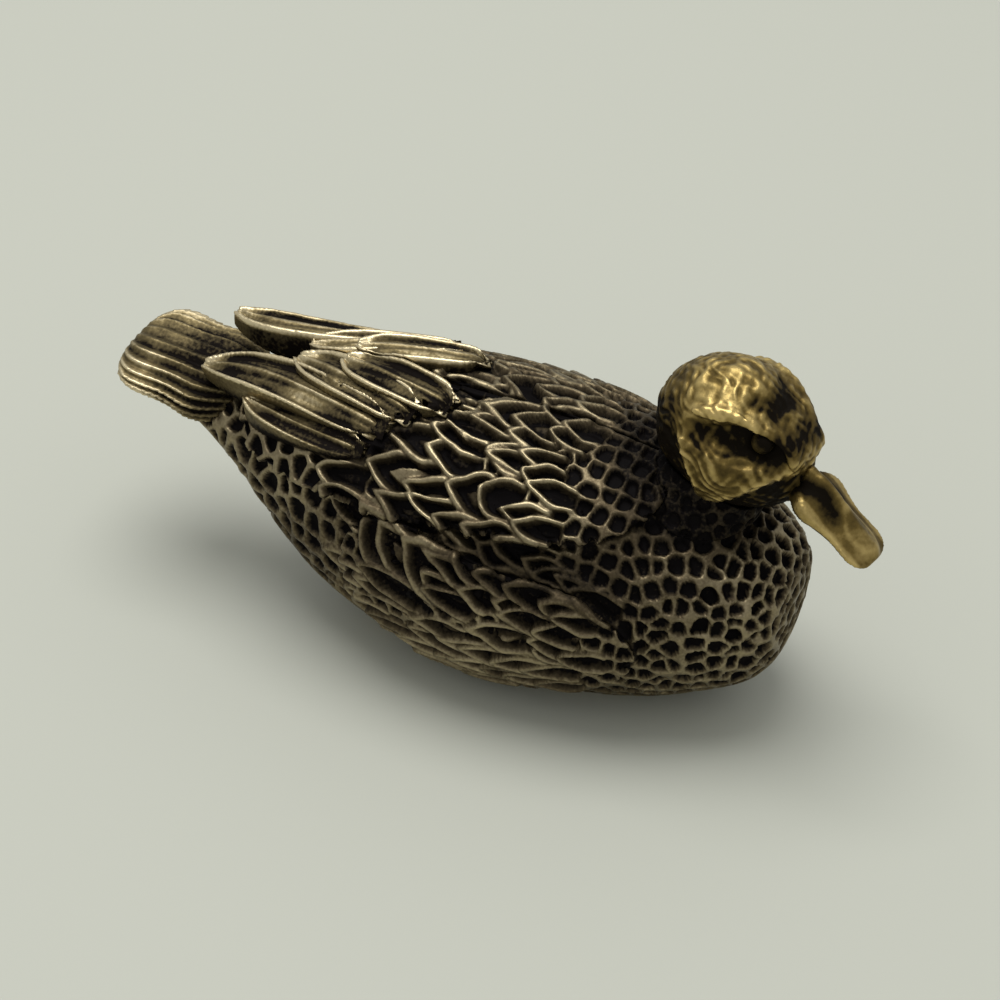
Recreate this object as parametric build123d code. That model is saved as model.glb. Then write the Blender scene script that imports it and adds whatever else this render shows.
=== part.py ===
from build123d import *
import math
import os

# A small swimming duck in cast brass, 45 mm from bill tip to tail, with a flat underside to stand on.
# The duck faces -Y, +Z is up, +X is its left. The origin is the middle of the flat underside, at the table.
# Each mass that the modeller laid on is its own solid: coat, neck, head, bill, wings, long feathers, tail.

# Body coat
BREAST_Y = -16.8            # foremost point of the breast
BREAST_Z = 7.9              # height of that point
KEEL_SINK = 1.1             # how far the round belly would reach below the table before it is cut flat
COAT_HALF_WIDTH = 8.4       # half of the coat's width at its widest
BACK_Z = 14.6               # top of the back under the wings
ROOM = 80.0                 # size of the blocks that keep everything on one side of a plane
SIDE_REACH = 20.0           # how far out from the middle a block across the duck reaches
# Body rings from front to rear: y, half width, top, bottom, height of the widest point
BODY_RINGS = [
    (-16.5, 2.6, 9.7, 5.6, 7.9),
    (-15.6, 4.1, 11.0, 2.9, 7.8),
    (-13.5, 5.7, 12.2, 1.5, 7.6),
    (-10.5, 6.9, 13.4, 0.2, 7.4),
    (-6.0, 7.8, 14.3, -0.9, 7.3),
    (-1.0, COAT_HALF_WIDTH, BACK_Z, -KEEL_SINK, 7.4),
    (5.0, 7.6, 14.5, -0.9, 7.8),
    (10.0, 6.3, 13.7, 1.1, 8.3),
    (14.0, 4.65, 12.5, 4.7, 9.2),
    (17.0, 3.4, 11.7, 7.9, 10.0),
    (19.0, 2.8, 11.4, 9.6, 10.5),
]

# Wings: pads laid over the back, whose lower edge stands over a dark hollow along the side
WING_RISE = 0.75            # how far a folded wing stands above the coat
WING_SEAM = 0.12            # half of the slit between the two wings along the back
WING_FRONT_Y = -9.4         # front of the shoulder
WING_REAR_Y = 15.0          # where the wing runs out under the long feathers
WING_EDGE_Z = 11.9          # height of the wing's lower edge on the duck's side

# Flank feathers below the wing
FLANK_RISE = 0.5
HOLLOW = 1.6                # height of the hollow between the wing's lower edge and the flank feathers
FLANK_FRONT_Y = -10.0
FLANK_REAR_Y = 6.6
WATERLINE_Z = 1.6           # lower edge of the flank feathers

# Cast relief: V-shaped hollows inside the rims of the large feathers, and rounded pits elsewhere
VEE_DEPTH = 0.32
VEE_RIM = 0.4               # rim left standing outside the hollow
VEE_WIDTH = 0.65            # width of the hollow's arms
VEE_NOSE = 0.6              # solid tip ahead of the hollow
VEE_THROAT = 1.0            # depth of the hollow behind its own tip
# Large feathers of the wing: y and degrees round from the back of the tip, length, width, upward tilt
WING_VEES = [(6.3, 47, 3.6, 3.4, 8), (3.9, 51, 2.6, 2.8, 12), (1.5, 46, 2.6, 3.0, 12), (-0.7, 47, 2.2, 2.7, 12),
             (3.7, 26, 2.8, 2.5, 10), (0.4, 30, 2.2, 2.3, 10), (-2.2, 33, 2.0, 2.1, 8), (1.7, 10, 2.6, 2.4, 4),
             (-1.0, 12, 2.3, 2.2, 4), (-3.4, 14, 2.0, 1.9, 4), (-3.0, 50, 2.0, 2.1, 8), (-5.2, 40, 1.8, 1.8, 6)]
FLANK_VEES = [(5.3, 68, 3.4, 3.4, 38), (2.7, 74, 3.0, 3.2, 34), (0.2, 82, 2.4, 2.4, 24), (-2.2, 84, 2.2, 2.2, 16),
              (-4.8, 84, 2.0, 2.0, 12), (3.4, 97, 2.8, 1.9, 8), (-0.6, 101, 2.6, 2.2, 6), (-3.6, 100, 2.2, 2.1, 6)]
PIT_DEPTH = 0.4
PIT_MOUTH = 1.25            # across the flats of a pit's mouth
PIT_FLOOR = 0.55
PIT_PITCH = 1.9             # between pits along a row
PIT_SIDES = 6
# Rows of pits: y, first and last degrees round from the back
PIT_ROWS = [(-15.9, 70, 118), (-15.0, 52, 138), (-13.5, 48, 140), (-11.8, 48, 136), (8.2, 72, 132), (9.9, 70, 128),
            (11.6, 72, 128), (13.2, 76, 124), (14.8, 82, 120)]
AXIS_Z = 7.8                # height of the line that the angles of the relief turn about

# Long feathers
FEATHER_RIM = 0.3           # width of the raised rim round a long feather
FEATHER_LIFT = 0.6          # height of the rim over the vane's edge
SECONDARY_LIFT = 0.5
TIP_THICK = 0.8             # thickness of a wing tip where it stands free over the tail
# How deep a feather's block reaches at its root and tip before what carries it is taken out
SECONDARY_SINK = (2.2, 2.2)
PRIMARY_SINK = (2.4, TIP_THICK)
TERTIAL_SINK = (2.2, 2.0)
PRIMARY_WIDTH = 2.9
TERTIAL_WIDTH = 2.9
SECONDARY_WIDTH = 2.0
LEFT_TIP_LIFT = 1.2         # the left wing tip stands this much higher than the right one
# Share of the full width along a feather, from root to tip
FEATHER_SHAPE = [(0, 0.72), (0.3, 0.94), (0.6, 1.0), (0.82, 0.88), (0.93, 0.62), (1.0, 0.26)]
# Courses of the feathers: x, y and height of the middle line over the wing's form
SECONDARY_COURSE = [(5.7, 6.2, 0.4), (4.9, 10.5, 0.7), (3.5, 14.8, 1.0)]
PRIMARY_COURSE = [(4.6, 5.4, 0.45), (3.4, 10.0, 0.7), (2.3, 14.3, 1.3), (2.0, 18.3, 1.3)]
LONG_TERTIAL_COURSE = [(3.6, 4.3, 0.5), (2.1, 8.9, 0.75), (0.75, 13.0, 1.1)]
SHORT_TERTIAL_COURSE = [(2.5, 2.6, 0.5), (1.6, 6.5, 0.75), (0.75, 10.1, 1.05)]

# Head and bill
HEAD_CENTRE = (0.2, -12.3, 16.95)
HEAD_TURN = -10.0           # degrees about +Z, to the duck's right
HEAD_HALF_WIDTH = 3.55
HEAD_TOP = 4.2              # over the head's centre
HEAD_BOTTOM = 3.6           # under it, at the cheeks
HEAD_BACK = 4.4             # nape, behind it
HEAD_FRONT = 4.6            # face, in front of it
# Skull rings from nape to face: share of the half length, then of half width, top and bottom, and sink in mm
HEAD_RINGS = [
    (0.92, 0.42, 0.44, 0.42, 0.0),
    (0.66, 0.77, 0.78, 0.72, 0.0),
    (0.18, 1.0, 1.0, 0.94, 0.0),
    (-0.28, 0.97, 0.98, 1.0, 0.1),
    (-0.66, 0.74, 0.75, 0.82, 0.3),
    (-0.92, 0.42, 0.42, 0.52, 0.5),
]
FACE_SINK = 0.6             # how far the front of the face lies below the head's centre
# Outlines in the head's side view: y, z from its centre
BROW_OUTLINE = [(0.9, 2.75), (-0.8, 3.25), (-2.4, 2.85), (-3.7, 2.0), (-4.6, 0.8), (-4.6, 0.1), (-3.9, 1.3),
                (-2.9, 2.2), (-1.9, 2.6), (-0.5, 2.6)]
CHEEK_OUTLINE = [(1.3, 1.0), (0.6, -0.2), (0.2, -1.3), (0.1, -2.4), (-1.0, -2.1), (-2.4, -1.1), (-3.3, -0.35),
                 (-4.1, 0.0), (-3.4, 0.5), (-2.3, 0.5), (-0.9, 0.75), (0.2, 1.1)]
STRIPE_OUTLINE = [(0.4, 1.8), (-1.2, 2.35), (-2.4, 2.3), (-3.4, 1.8), (-3.9, 1.2), (-3.3, 0.9), (-2.4, 0.85),
                  (-1.2, 1.05), (0.0, 1.4)]
BROW_RISE = 0.35
CHEEK_RISE = 0.3
STRIPE_DEPTH = 0.65
NECK_HALF_WIDTH = 3.0
NECK_HALF_DEPTH = 3.3
# Neck rings from inside the coat up to the head's centre: depth under that centre, y behind it, then the
# shares of the half width and of the half depth behind and before
NECK_RINGS = [(7.45, 2.6, 1.5, 1.4, 1.27), (4.35, 2.0, 1.3, 1.27, 1.18), (2.55, 0.9, 1.0, 1.0, 1.03),
              (0, 0.4, 0.9, 0.85, 0.85)]
EYE_RADIUS = 0.6
EYE_PLACE = (1.9, -2.75, 1.6)
BILL_PITCH = 32.0           # degrees below level
BILL_LENGTH = 6.45          # from its root inside the face to the tip
BILL_ROOT = (0, -3.4, -1.0)
BILL_HALF_WIDTH = 1.65
BILL_HEIGHT = 1.5           # of the ridge over the mouth line, at the root
JAW_DEPTH = 0.95
JAW_SHARE = 0.88            # width of the jaw against the upper bill
LIP_SHARE = 0.3             # height of the upper bill's edge against its ridge
# Share of the bill's length, then of its width and height there
BILL_RINGS = [(0, 1.0, 1.0), (0.3, 0.96, 0.95), (0.55, 0.94, 0.82), (0.78, 0.95, 0.6), (0.92, 0.86, 0.46),
              (0.98, 0.62, 0.34), (1.0, 0.3, 0.22)]

# Tail fan
TAIL_ROOT_Y = 13.5
TAIL_END_Y = 23.5
TAIL_ROOT_Z = 10.3
TAIL_END_Z = 12.0
TAIL_HALF_WIDTH = 4.0
TAIL_HALF_THICK = 1.4
TAIL_RIBS = 22
RIB_DEPTH = 0.3
# Share of the tail's length, then of its width and thickness there
TAIL_RINGS = [(0, 0.72, 1.1), (0.35, 0.84, 1.08), (0.65, 0.97, 1.0), (0.82, 1.0, 0.92), (0.93, 0.91, 0.78),
              (0.98, 0.72, 0.6), (1, 0.5, 0.4)]


def oval(plane, wide, up, down):
    """A closed oval on the plane: half width, height above its middle and depth below it."""
    arcs = [
        EllipticalCenterArc((0, 0), wide, up, start_angle=0, arc_size=90),
        EllipticalCenterArc((0, 0), wide, up, start_angle=90, arc_size=90),
        EllipticalCenterArc((0, 0), wide, down, start_angle=180, arc_size=90),
        EllipticalCenterArc((0, 0), wide, down, start_angle=270, arc_size=90),
    ]
    return plane * make_face(Wire(arcs))


def cross_plane(y, z):
    """The plane across the duck at station y, with its middle at height z."""
    return Plane((0, y, z), x_dir=(1, 0, 0), z_dir=(0, -1, 0))


def coat(grow=0.0):
    """The body's rounded form, grown outwards by grow, before the underside is cut flat."""
    rings = []
    for y, wide, top, bottom, widest in BODY_RINGS:
        rings.append(oval(cross_plane(y, widest), wide + grow, top + grow - widest, widest - bottom + grow))
    return loft([Vertex(0, BREAST_Y - grow, BREAST_Z)] + rings)


def biggest(shape):
    """The largest solid of a cut, without the crumbs that it left."""
    return max(shape.solids(), key=lambda solid: solid.volume)


def side_block(points, inner, outer):
    """A block across the duck whose outline in the side view goes through points, from x inner to outer."""
    outline = make_face(Wire([Spline(*[(inner, y, z) for y, z in points], periodic=True)]))
    return extrude(outline, amount=outer - inner, dir=(1, 0, 0))


def to_right(shape):
    """The same piece on the duck's right side."""
    return mirror(shape, about=Plane.YZ)


def side_point(form, y, angle):
    """The form's point on its left side at station y, at an angle round from the back, and its outward normal."""
    start = Vector(0, y, AXIS_Z)
    out = Vector(math.sin(math.radians(angle)), 0, math.cos(math.radians(angle)))
    hits = form.find_intersection_points(Axis(start, out))
    point, normal = max(hits, key=lambda hit: (hit[0] - start).dot(out))
    return point, normal * math.copysign(1, normal.dot(out))


def vee_prisms(form, vees):
    """Upright blocks of V shape over the form's left side, one inside each feather's rim."""
    prisms = []
    for y, angle, length, width, tilt in vees:
        tip, normal = side_point(form, y, angle)
        slope = math.radians(tilt)
        flow = Vector(0, math.cos(slope), math.sin(slope))
        along = (flow - normal * flow.dot(normal)).normalized()
        plane = Plane(tip - normal * VEE_DEPTH * 2, x_dir=along, z_dir=normal)
        outer = width / 2 - VEE_RIM
        inner = max(outer - VEE_WIDTH, VEE_DEPTH / 3)
        throat = VEE_NOSE + VEE_THROAT
        outline = Polyline((-VEE_NOSE, 0), (-length, outer), (-length, inner), (-throat, 0),
                           (-length, -inner), (-length, -outer), close=True)
        prisms.append(extrude(plane * make_face(outline), amount=VEE_DEPTH * 4))
    return prisms


def pit(point, normal):
    """A tool for one pit in the coat: a six-sided taper square to the skin."""
    level = (-normal.Y, normal.X, 0)
    floor = Plane(point - normal * PIT_DEPTH, x_dir=level, z_dir=normal)
    over = Plane(point + normal * PIT_DEPTH, x_dir=level, z_dir=normal)
    return loft([floor * RegularPolygon(PIT_FLOOR / 2, PIT_SIDES, major_radius=False),
                 over * RegularPolygon(PIT_MOUTH - PIT_FLOOR / 2, PIT_SIDES, major_radius=False)], ruled=True)


# Coat, cut flat at the table
above_table = Pos(0, 0, ROOM / 2) * Box(ROOM, ROOM, ROOM)
left_side = Pos(WING_SEAM + ROOM / 4, 0, ROOM / 4) * Box(ROOM / 2, ROOM, ROOM * 0.75)
coat_form = coat()
pits = []
for row, (y, first, last) in enumerate(PIT_ROWS):
    step = math.degrees(PIT_PITCH / side_point(coat_form, y, 90)[0].X)
    angle = first + step / 2 * (row % 2)
    while angle <= last:
        left_pit = pit(*side_point(coat_form, y, angle))
        pits += [left_pit, to_right(left_pit)]
        angle += step
body = biggest((coat_form & above_table) - pits)

# Wing pads
wing_outline = [
    (WING_FRONT_Y, WING_EDGE_Z + 1.3),
    (WING_FRONT_Y + 2.6, WING_EDGE_Z + 0.2),
    (-1.5, WING_EDGE_Z - 0.2),
    (4.0, WING_EDGE_Z - 0.9),
    (9.0, WING_EDGE_Z - 1.3),
    (WING_REAR_Y, WING_EDGE_Z - 0.4),
    (WING_REAR_Y + 0.5, WING_EDGE_Z + 2.0),
    (8.0, BACK_Z + 4.0),
    (-3.0, BACK_Z + 4.0),
    (WING_FRONT_Y, BACK_Z + 1.2),
]
wing_form = coat(WING_RISE)
plain_wing = biggest((wing_form - coat_form) & side_block(wing_outline, WING_SEAM, SIDE_REACH))
wing_floor = coat(WING_RISE - VEE_DEPTH)
left_wing = biggest(plain_wing - [prism - wing_floor for prism in vee_prisms(wing_form, WING_VEES)])
right_wing = to_right(left_wing)

# Flank pads
flank_top = WING_EDGE_Z - HOLLOW
flank_outline = [
    (FLANK_FRONT_Y, flank_top - 3.0),
    (FLANK_FRONT_Y + 3.5, flank_top - 0.8),
    (-1.5, flank_top - 0.3),
    (FLANK_REAR_Y - 1.5, flank_top + 0.1),
    (FLANK_REAR_Y, flank_top - 1.6),
    (FLANK_REAR_Y - 1.5, WATERLINE_Z + 2.4),
    (FLANK_REAR_Y - 6.0, WATERLINE_Z),
    (FLANK_FRONT_Y + 6.0, WATERLINE_Z),
    (FLANK_FRONT_Y + 1.8, WATERLINE_Z + 1.8),
]
flank_form = coat(FLANK_RISE)
plain_flank = biggest((flank_form - coat_form) & side_block(flank_outline, WING_SEAM, SIDE_REACH) & above_table)
flank_floor = coat(FLANK_RISE - VEE_DEPTH)
left_flank = biggest(plain_flank - [prism - flank_floor for prism in vee_prisms(flank_form, FLANK_VEES)])
right_flank = to_right(left_flank)

# Tail: scalloped sections whose ribs run out to the rounded end
tail_sections = []
for part, wide, thick in TAIL_RINGS:
    y = TAIL_ROOT_Y + (TAIL_END_Y - TAIL_ROOT_Y) * part
    z = TAIL_ROOT_Z + (TAIL_END_Z - TAIL_ROOT_Z) * part
    points = []
    for step in range(2 * TAIL_RIBS):
        angle = math.pi * (step + 0.5) / TAIL_RIBS
        dip = RIB_DEPTH * thick if step % 2 else 0
        points.append(((TAIL_HALF_WIDTH * wide - dip) * math.cos(angle),
                       (TAIL_HALF_THICK * thick - dip) * math.sin(angle)))
    tail_sections.append(cross_plane(y, z) * make_face(Polyline(*points, close=True)))
tail_fan = biggest(loft(tail_sections) - body - left_wing - right_wing)


def top_point(x, y):
    """The point of the wing's outer form above x, y, and its outward normal."""
    hits = wing_form.find_intersection_points(Axis((x, y, 0), (0, 0, 1)))
    return max(hits, key=lambda hit: hit[0].Z)


def feather(course, width, lift, sinks):
    """A long feather along its course, with raised rims and shaft, on a block that sinks to its carrier."""
    spine = Spline(*[top_point(x, y)[0] + Vector(0, 0, rise) for x, y, rise in course])
    up_root = top_point(*course[0][:2])[1]
    up_tip = Vector(up_root.X * 0.2, 0, 1)
    sections = []
    for part, share in FEATHER_SHAPE:
        half = width / 2 * share
        rim = min(FEATHER_RIM, half / 2.6)
        up = up_root * (1 - part) + up_tip * part
        along = spine.tangent_at(part)
        sink = sinks[0] + (sinks[1] - sinks[0]) * part ** 3
        edge = [(half, -lift * 0.5), (half - rim * 0.4, 0), (half - rim, 0), (half - 2 * rim, -lift * 0.35)]
        rim_profile = [(-x, z) for x, z in edge] + [(0, lift * 0.1)] + edge[::-1]
        profile = rim_profile + [(half * 0.9, -sink), (-half * 0.9, -sink)]
        plane = Plane(spine.position_at(part), x_dir=up.cross(along), z_dir=along)
        sections.append(plane * make_face(Polyline(*profile, close=True)))
    return loft(sections)


# Long feathers, each laid over the ones before it
carriers = [body, left_wing, right_wing, tail_fan]
long_feathers = {}


def lay(name, sides, course, width, lift, sinks):
    """Lays a feather on the carriers, on each side named, cut off at the middle of the back."""
    shape = feather(course, width, lift, sinks) & left_side
    for side in sides:
        laid = shape if side == "left" else to_right(shape)
        for carrier in carriers:
            laid = biggest(laid - carrier)
        carriers.append(laid)
        long_feathers[f"{side}_{name}"] = laid


both = ("left", "right")
lay("secondaries", both, SECONDARY_COURSE, SECONDARY_WIDTH, SECONDARY_LIFT, SECONDARY_SINK)
for side, lift in (("left", LEFT_TIP_LIFT), ("right", 0)):
    shoulder, middle, (x3, y3, rise), (x4, y4, tip_rise) = PRIMARY_COURSE
    lifted = [shoulder, middle, (x3, y3, rise + lift / 3), (x4, y4, tip_rise + lift)]
    lay("primaries", (side,), lifted, PRIMARY_WIDTH, FEATHER_LIFT, PRIMARY_SINK)
lay("long_tertial", both, LONG_TERTIAL_COURSE, TERTIAL_WIDTH, FEATHER_LIFT, TERTIAL_SINK)
lay("short_tertial", both, SHORT_TERTIAL_COURSE, TERTIAL_WIDTH, FEATHER_LIFT, TERTIAL_SINK)


# Head in its own frame: face towards -Y, centre at the origin
def skull(grow=0.0):
    """The head's rounded form, grown outwards by grow."""
    rings = []
    for share, wide, up, down, sink in HEAD_RINGS:
        y = share * (HEAD_BACK if share > 0 else HEAD_FRONT)
        y = y + math.copysign(grow * abs(share), share)
        rings.append(oval(cross_plane(y, -sink), HEAD_HALF_WIDTH * wide + grow,
                          HEAD_TOP * up + grow, HEAD_BOTTOM * down + grow))
    return loft([Vertex(0, HEAD_BACK + grow, 0)] + rings + [Vertex(0, -HEAD_FRONT - grow, -FACE_SINK)])


skull_form = skull()
brow_pad = (skull(BROW_RISE) - skull_form) & side_block(BROW_OUTLINE, -HEAD_BACK, HEAD_BACK)
cheek_pad = (skull(CHEEK_RISE) - skull_form) & side_block(CHEEK_OUTLINE, -HEAD_BACK, HEAD_BACK)
stripe_cut = (skull_form - skull(-STRIPE_DEPTH)) & side_block(STRIPE_OUTLINE, -HEAD_BACK, HEAD_BACK)
place_head = Pos(*HEAD_CENTRE) * Rot(0, 0, HEAD_TURN)
head_form = biggest(skull_form - stripe_cut + brow_pad + cheek_pad)
eyes = {}
eye_x, eye_y, eye_z = EYE_PLACE
for name, side in (("left_eye", 1), ("right_eye", -1)):
    ball = Pos(side * eye_x, eye_y, eye_z) * Sphere(EYE_RADIUS)
    head_form = head_form - ball
    eyes[name] = place_head * ball
head = biggest(place_head * biggest(head_form) - body - left_wing - right_wing)

# Bill: sections along its own axis, parted at the mouth line
pitch = math.radians(BILL_PITCH)
bill_along = Vector(0, -math.cos(pitch), -math.sin(pitch))
upper_sections = []
lower_sections = []
for part, wide, high in BILL_RINGS:
    half = BILL_HALF_WIDTH * wide
    ridge = BILL_HEIGHT * high
    lip = ridge * LIP_SHARE
    flank_x, flank_z = half * 0.5, lip + (ridge - lip) * 0.38
    plane = Plane(Vector(*BILL_ROOT) + bill_along * (BILL_LENGTH * part), x_dir=(1, 0, 0), z_dir=bill_along)
    top = Spline((half, lip), (flank_x, flank_z), (0, ridge), (-flank_x, flank_z), (-half, lip))
    edges = [top, Line((-half, lip), (-half, 0)), Line((-half, 0), (half, 0)), Line((half, 0), (half, lip))]
    upper_sections.append(plane * make_face(Wire(edges)))
    jaw = half * JAW_SHARE
    depth = JAW_DEPTH * high
    under = Spline((-jaw, 0), (-jaw * 0.6, -depth * 0.8), (0, -depth), (jaw * 0.6, -depth * 0.8), (jaw, 0))
    lower_sections.append(plane * make_face(Wire([Line((jaw, 0), (-jaw, 0)), under])))
upper_bill = biggest(place_head * loft(upper_sections) - head - body)
lower_bill = biggest(place_head * loft(lower_sections) - head - body)

# Neck, from inside the coat up into the head
head_x, head_y, head_z = HEAD_CENTRE
neck_rings = []
for under, back, wide, behind, before in NECK_RINGS:
    plane = Plane((head_x, head_y + back, head_z - under))
    neck_rings.append(oval(plane, NECK_HALF_WIDTH * wide, NECK_HALF_DEPTH * behind, NECK_HALF_DEPTH * before))
neck = biggest(loft(neck_rings) - body - head - left_wing - right_wing - lower_bill)

parts = {
    "body": body,
    "neck": neck,
    "head": head,
    "upper_bill": upper_bill,
    "lower_bill": lower_bill,
    "left_eye": eyes["left_eye"],
    "right_eye": eyes["right_eye"],
    "left_wing": left_wing,
    "right_wing": right_wing,
    "left_flank": left_flank,
    "right_flank": right_flank,
    **long_feathers,
    "tail_fan": tail_fan,
}
os.makedirs("parts", exist_ok=True)
for name, shape in parts.items():
    export_step(shape, f"parts/{name}.step")
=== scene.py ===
import math
import bmesh
import bpy
import numpy as np
from mathutils import Matrix, Vector
from mathutils.bvhtree import BVHTree


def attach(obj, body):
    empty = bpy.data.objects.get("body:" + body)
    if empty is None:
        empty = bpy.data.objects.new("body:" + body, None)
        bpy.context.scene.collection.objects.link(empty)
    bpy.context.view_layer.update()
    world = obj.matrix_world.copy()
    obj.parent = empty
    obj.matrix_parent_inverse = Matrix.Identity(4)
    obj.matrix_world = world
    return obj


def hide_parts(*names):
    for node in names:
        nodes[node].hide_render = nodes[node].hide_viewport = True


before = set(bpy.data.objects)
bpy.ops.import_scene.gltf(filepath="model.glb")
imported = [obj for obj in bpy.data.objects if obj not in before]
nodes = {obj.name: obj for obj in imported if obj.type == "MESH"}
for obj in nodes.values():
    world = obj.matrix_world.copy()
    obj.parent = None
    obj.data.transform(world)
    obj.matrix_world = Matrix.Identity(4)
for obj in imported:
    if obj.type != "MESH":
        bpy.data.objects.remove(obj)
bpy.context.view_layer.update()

# A small cast brass duck on a pale table. It faces -Y, and everything is worked in millimetres, then kept in metres.
mm = 0.001
farOff = 9.0  # a distance larger than any that is looked for
rowRatio = 0.87  # height of a row of hollows over the gap between two of them
allNames = set(nodes)
scene = bpy.context.scene


def readPoints(mesh):
    values = np.empty(len(mesh.vertices) * 3, np.float32)
    mesh.vertices.foreach_get("co", values)
    return values.reshape(-1, 3).astype(np.float64) / mm


def writePoints(mesh, points):
    mesh.vertices.foreach_set("co", (points * mm).astype(np.float32).ravel())
    mesh.update()


def readNormals(mesh):
    values = np.empty(len(mesh.vertices) * 3, np.float32)
    mesh.vertices.foreach_get("normal", values)
    return values.reshape(-1, 3).astype(np.float64)


def readEdges(mesh):
    values = np.empty(len(mesh.edges) * 2, np.int32)
    mesh.edges.foreach_get("vertices", values)
    return values.reshape(-1, 2)


def storeValue(mesh, name, values):
    layer = mesh.attributes.get(name) or mesh.attributes.new(name, "FLOAT", "POINT")
    layer.data.foreach_set("value", values.astype(np.float32))


def smoothStep(value, low, high):
    t = np.clip((value - low) / (high - low), 0, 1)
    return t * t * (3 - 2 * t)


def spread(values, edges, count, rounds):  # evens values out over the mesh's edges
    degree = np.bincount(edges.ravel(), minlength=count).clip(1)
    shape = values.shape
    values = values.reshape(count, -1)
    for _ in range(rounds):
        total = np.zeros_like(values)
        for column in range(values.shape[1]):
            total[:, column] = (np.bincount(edges[:, 0], values[edges[:, 1], column], count)
                                + np.bincount(edges[:, 1], values[edges[:, 0], column], count))
        values = 0.5 * values + 0.5 * total / degree[:, None]
    return values.reshape(shape)


def wave(points, size, seed):  # slow smooth unevenness, about -1 to 1
    turns = np.random.default_rng(seed).normal(0, 1, (5, 3))
    starts = np.random.default_rng(seed + 1).uniform(0, 6.28, 5)
    return sum(np.sin(points @ turn * (1.6 / size) + start) for turn, start in zip(turns, starts)) / 3


def evenSkin(piece, voxel):
    remesh = piece.modifiers.new("evenSkin", "REMESH")
    remesh.mode = "VOXEL"
    remesh.voxel_size = voxel * mm
    fine = bpy.data.meshes.new_from_object(piece.evaluated_get(bpy.context.evaluated_depsgraph_get()))
    piece.modifiers.clear()
    piece.data = fine
    fine.name = piece.name
    fine.polygons.foreach_set("use_smooth", np.ones(len(fine.polygons), bool))


def castCopy(nodeName, pieceName, voxel):
    # a fine even skin over a solid, ready for relief
    mesh = nodes[nodeName].data.copy()
    bm = bmesh.new()
    bm.from_mesh(mesh)
    bmesh.ops.remove_doubles(bm, verts=bm.verts, dist=0.002 * mm)
    bm.to_mesh(mesh)
    bm.free()
    mesh.materials.clear()
    piece = bpy.data.objects.new(pieceName, mesh)
    scene.collection.objects.link(piece)
    evenSkin(piece, voxel)
    return piece


def treeOf(names):
    points, faces = [], []
    for name in names:
        mesh = nodes[name].data
        start = len(points)
        points += [v.co / mm for v in mesh.vertices]
        faces += [[start + i for i in p.vertices] for p in mesh.polygons]
    return BVHTree.FromPolygons(points, faces)


seat = dict(lift=0.03, reach=40, touch=0.5)


def openSkin(points, normals, tree):
    # 1 where a point of a piece shows, 0 where another piece lies on it
    shown = np.ones(len(points))
    for index in range(len(points)):
        normal = Vector(normals[index])
        start = Vector(points[index]) + normal * seat["lift"]
        hit, face, _, distance = tree.ray_cast(start, normal, seat["reach"])
        if hit is not None and (face.dot(normal) > 0 or distance < seat["touch"]):
            shown[index] = 0
    return shown


def skinPoint(tree, base, out, reach):
    # where a line in from outside towards base meets a solid
    hit, normal, _, _ = tree.ray_cast(base + out * reach, -out, reach)
    return hit, normal


# Camera: the photograph's own close view, from the duck's right and above
view = dict(eye=(-126.2, -55.3, 110.3), aim=(0.3, 1.0, 8.0), lens=112, roll=1.8, nearClip=5.0)
camera = bpy.data.objects.new("camera", bpy.data.cameras.new("camera"))
scene.collection.objects.link(camera)
camera.data.lens = view["lens"]
camera.data.clip_start = view["nearClip"] * mm
camera.location = Vector(view["eye"]) * mm
towards = (Vector(view["aim"]) - Vector(view["eye"])).to_track_quat("-Z", "Y").to_matrix().to_4x4()
roll = Matrix.Rotation(math.radians(view["roll"]), 4, "Z")
camera.matrix_world = Matrix.Translation(camera.location) @ towards @ roll
scene.camera = camera
print("camera set")

# Brass: one patina group turns the rubbing attribute, which in places also holds painted shade and painted highlight,
# and some noise into colour, roughness, metal and bump masks.
# Each pair is how fast a mask grows with the rubbing and painted shade, and where it starts.
wearCurve = dict(toMid=(2.2, -0.15), toBright=(2.0, -0.95), roughness=(-0.28, 0.62), metal=(1.6, 0.15), patches=900.0)


def newGroup(name, inputs, outputs):
    group = bpy.data.node_groups.new(name, "ShaderNodeTree")
    for label, kind, value in inputs:
        socket = group.interface.new_socket(label, in_out="INPUT", socket_type="NodeSocket" + kind)
        socket.default_value = value
    for label, kind in outputs:
        group.interface.new_socket(label, in_out="OUTPUT", socket_type="NodeSocket" + kind)
    return group, group.nodes.new("NodeGroupInput"), group.nodes.new("NodeGroupOutput")


def mathNode(tree, kind, first, second=None, third=None, clamp=False):
    node = tree.nodes.new("ShaderNodeMath")
    node.operation = kind
    node.use_clamp = clamp
    for socket, value in zip(node.inputs, (first, second, third)):
        if value is None:
            continue
        if isinstance(value, (int, float)):
            socket.default_value = value
        else:
            tree.links.new(value, socket)
    return node.outputs[0]


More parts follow.
